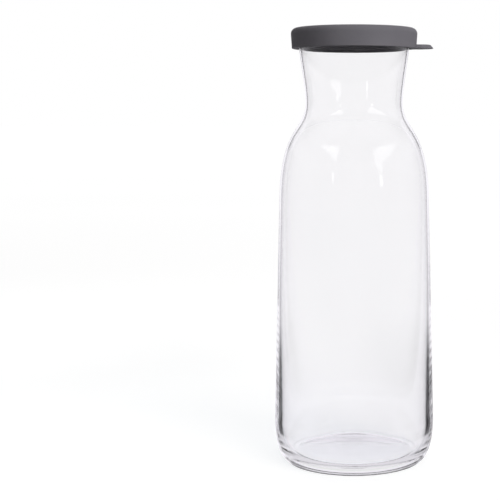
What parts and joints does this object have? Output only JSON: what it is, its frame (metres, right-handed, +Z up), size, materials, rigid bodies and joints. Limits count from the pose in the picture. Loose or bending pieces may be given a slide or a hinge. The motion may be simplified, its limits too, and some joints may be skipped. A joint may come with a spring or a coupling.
{
  "type": "glass carafe",
  "caption": "Clear glass carafe with a tapering body, rounded shoulder and flared neck, closed by a grey silicone lid with a pull tab.",
  "frame": {"origin": "centre of the foot, on the plane that the standing ring rests on", "axes": "+Z up along the axis of the glass; +X towards the lid's pull tab; +Y away from the viewer of the picture"},
  "size_m": [0.0948, 0.0948, 0.2548],
  "materials": {
    "clear_glass": "clear, smooth, fire-polished",
    "grey_silicone": "matte moulded silicone"
  },
  "bodies": {
    "carafe": {"glass_carafe": "clear_glass"},
    "lid": {"silicone_lid": "grey_silicone"}
  },
  "joints": [
    {"name": "lid_lift", "type": "slide", "parent": "carafe", "child": "lid", "axis": [0, 0, 1], "range_m": [0, 0.08]}
  ]
}
